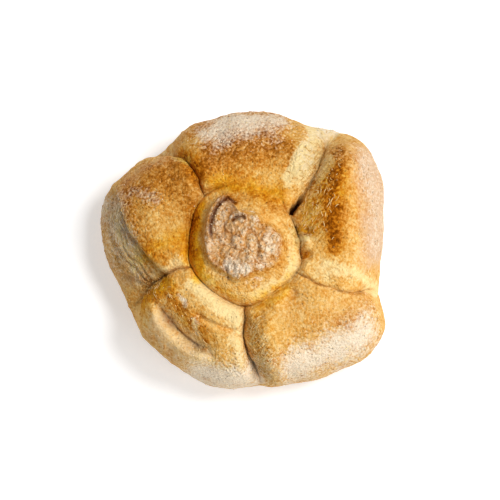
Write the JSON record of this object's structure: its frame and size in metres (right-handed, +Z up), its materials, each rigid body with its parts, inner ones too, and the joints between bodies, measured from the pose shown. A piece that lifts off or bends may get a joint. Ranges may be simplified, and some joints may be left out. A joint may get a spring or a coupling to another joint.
{
  "type": "rosetta roll",
  "caption": "Rosetta bread roll with plump petals of dough around a raised crown, a torn wrinkled cap, deep creases and a flat base.",
  "frame": {"origin": "on the flat base, under the middle of the roll's outline", "axes": "+Z up through the crown; +Y towards the big petal opposite the folded one; +X towards the petal with the dark ridge"},
  "size_m": [0.104, 0.1016, 0.0476],
  "materials": {
    "crust": "matte baked crust, golden brown and dusted with flour"
  },
  "bodies": {
    "root": {"roll": "crust"}
  },
  "joints": []
}
